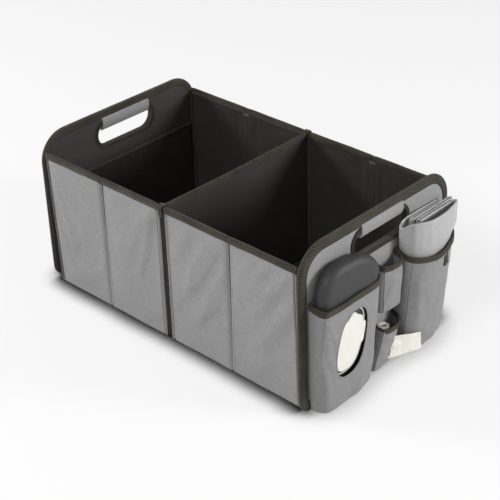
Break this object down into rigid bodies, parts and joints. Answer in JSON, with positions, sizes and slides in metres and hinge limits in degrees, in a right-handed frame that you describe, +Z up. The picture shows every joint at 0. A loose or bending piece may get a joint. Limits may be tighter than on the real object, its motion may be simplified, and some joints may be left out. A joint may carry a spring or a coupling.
{
  "type": "trunk organizer",
  "caption": "Folding fabric trunk organizer: bound open box with centre divider, end panels with grip holes, swing-up base boards and a row of bulged pockets on one end.",
  "frame": {"origin": "on the floor, under the middle of the divider", "axes": "+X along the length towards the pockets, +Y from the front wall to the rear wall, +Z up"},
  "size_m": [0.6163, 0.346, 0.268],
  "materials": {
    "grey_fabric": "matte woven",
    "black_lining": "matte coated",
    "taupe_tape": "ribbed tape",
    "stiff_board": "matte",
    "black_net": "knitted net",
    "grey_case": "matte",
    "cream_lid": "satin",
    "pad_fabric": "coated",
    "bag_film": "satin film",
    "tag_fabric": "matte"
  },
  "bodies": {
    "divider": {"divider_core": "black_lining", "divider_binding": "taupe_tape", "front_centre_strip": "taupe_tape", "rear_centre_strip": "taupe_tape", "left_floor": "black_lining", "right_floor": "black_lining"},
    "front_left_near": {"front_left_near_cover": "grey_fabric", "front_left_near_lining": "black_lining", "front_left_near_binding": "taupe_tape"},
    "front_left_far": {"front_left_far_cover": "grey_fabric", "front_left_far_lining": "black_lining", "front_left_far_binding": "taupe_tape"},
    "rear_left_near": {"rear_left_near_cover": "grey_fabric", "rear_left_near_lining": "black_lining", "rear_left_near_binding": "taupe_tape"},
    "rear_left_far": {"rear_left_far_cover": "grey_fabric", "rear_left_far_lining": "black_lining", "rear_left_far_binding": "taupe_tape"},
    "front_right_near": {"front_right_near_cover": "grey_fabric", "front_right_near_lining": "black_lining", "front_right_near_binding": "taupe_tape"},
    "front_right_far": {"front_right_far_cover": "grey_fabric", "front_right_far_lining": "black_lining", "front_right_far_binding": "taupe_tape"},
    "rear_right_near": {"rear_right_near_cover": "grey_fabric", "rear_right_near_lining": "black_lining", "rear_right_near_binding": "taupe_tape"},
    "rear_right_far": {"rear_right_far_cover": "grey_fabric", "rear_right_far_lining": "black_lining", "rear_right_far_binding": "taupe_tape"},
    "left_end": {"left_end_cover": "grey_fabric", "left_end_board": "stiff_board", "left_end_lining": "black_lining", "left_end_binding": "taupe_tape", "left_handle_binding": "taupe_tape", "left_handle_grip": "grey_fabric", "mesh_pocket_net": "black_net", "mesh_pocket_hem": "taupe_tape"},
    "right_end": {"right_end_cover": "grey_fabric", "right_end_board": "stiff_board", "right_end_lining": "black_lining", "right_end_binding": "taupe_tape", "right_handle_binding": "taupe_tape", "right_handle_grip": "grey_fabric", "wipes_pocket": "grey_fabric", "wipes_pocket_binding": "taupe_tape", "small_pocket": "grey_fabric", "small_pocket_binding": "taupe_tape", "bag_pocket": "grey_fabric", "bag_pocket_binding": "taupe_tape", "tall_pocket": "grey_fabric", "tall_pocket_binding": "taupe_tape", "tag": "tag_fabric", "bag_sheet": "bag_film"},
    "left_base": {"left_base_board": "black_lining"},
    "right_base": {"right_base_board": "black_lining"},
    "wipes_case": {"wipes_case": "grey_case"},
    "wipes_lid": {"wipes_lid": "cream_lid"},
    "changing_pad": {"changing_pad": "pad_fabric"},
    "bag_roll": {"bag_roll": "bag_film"}
  },
  "joints": [
    {"name": "left_fold", "type": "hinge", "parent": "divider", "child": "front_left_near", "pos_m": [-0.0053, -0.1635, 0.12], "axis": [0, 0, -1], "range_deg": [0, 88], "deforming": ["left_floor"]},
    {"name": "front_left_crease", "type": "hinge", "parent": "front_left_near", "child": "front_left_far", "pos_m": [-0.13855, -0.1703, 0.12], "axis": [0, 0, 1], "range_deg": [0, 176]},
    {"name": "left_end_corner", "type": "hinge", "parent": "front_left_far", "child": "left_end", "pos_m": [-0.2718, -0.1635, 0.12], "axis": [0, 0, -1], "range_deg": [0, 88]},
    {"name": "rear_left_corner", "type": "hinge", "parent": "divider", "child": "rear_left_near", "pos_m": [-0.0053, 0.1635, 0.12], "axis": [0, 0, 1], "range_deg": [0, 88]},
    {"name": "rear_left_crease", "type": "hinge", "parent": "rear_left_near", "child": "rear_left_far", "pos_m": [-0.13855, 0.1703, 0.12], "axis": [0, 0, -1], "range_deg": [0, 176]},
    {"name": "left_base_swing", "type": "hinge", "parent": "divider", "child": "left_base", "pos_m": [-0.003, 0, 0.0029], "axis": [0, 1, 0], "range_deg": [0, 90]},
    {"name": "right_fold", "type": "hinge", "parent": "divider", "child": "front_right_near", "pos_m": [0.0053, -0.1635, 0.12], "axis": [0, 0, 1], "range_deg": [0, 88], "deforming": ["right_floor"]},
    {"name": "front_right_crease", "type": "hinge", "parent": "front_right_near", "child": "front_right_far", "pos_m": [0.13855, -0.1703, 0.12], "axis": [0, 0, -1], "range_deg": [0, 176]},
    {"name": "right_end_corner", "type": "hinge", "parent": "front_right_far", "child": "right_end", "pos_m": [0.2718, -0.1635, 0.12], "axis": [0, 0, 1], "range_deg": [0, 88]},
    {"name": "rear_right_corner", "type": "hinge", "parent": "divider", "child": "rear_right_near", "pos_m": [0.0053, 0.1635, 0.12], "axis": [0, 0, -1], "range_deg": [0, 88]},
    {"name": "rear_right_crease", "type": "hinge", "parent": "rear_right_near", "child": "rear_right_far", "pos_m": [0.13855, 0.1703, 0.12], "axis": [0, 0, 1], "range_deg": [0, 176]},
    {"name": "right_base_swing", "type": "hinge", "parent": "divider", "child": "right_base", "pos_m": [0.003, 0, 0.0029], "axis": [0, -1, 0], "range_deg": [0, 90]},
    {"name": "case_lift", "type": "slide", "parent": "right_end", "child": "wipes_case", "axis": [0, 0, 1], "range_m": [0, 0.18]},
    {"name": "lid_flip", "type": "hinge", "parent": "wipes_case", "child": "wipes_lid", "pos_m": [0.3135, -0.104, 0.1473], "axis": [0, -1, 0], "range_deg": [0, 90]},
    {"name": "pad_lift", "type": "slide", "parent": "right_end", "child": "changing_pad", "axis": [0, 0, 1], "range_m": [0, 0.175]},
    {"name": "roll_spin", "type": "hinge", "parent": "right_end", "child": "bag_roll", "pos_m": [0.2918, 0.0065, 0.03], "axis": [0, 0, 1], "continuous": true}
  ],
  "couplings": [
    {"joint": "front_left_crease", "follows": "left_fold", "ratio": 2},
    {"joint": "left_end_corner", "follows": "left_fold", "ratio": 1},
    {"joint": "rear_left_corner", "follows": "left_fold", "ratio": 1},
    {"joint": "rear_left_crease", "follows": "left_fold", "ratio": 2},
    {"joint": "front_right_crease", "follows": "right_fold", "ratio": 2},
    {"joint": "right_end_corner", "follows": "right_fold", "ratio": 1},
    {"joint": "rear_right_corner", "follows": "right_fold", "ratio": 1},
    {"joint": "rear_right_crease", "follows": "right_fold", "ratio": 2}
  ]
}
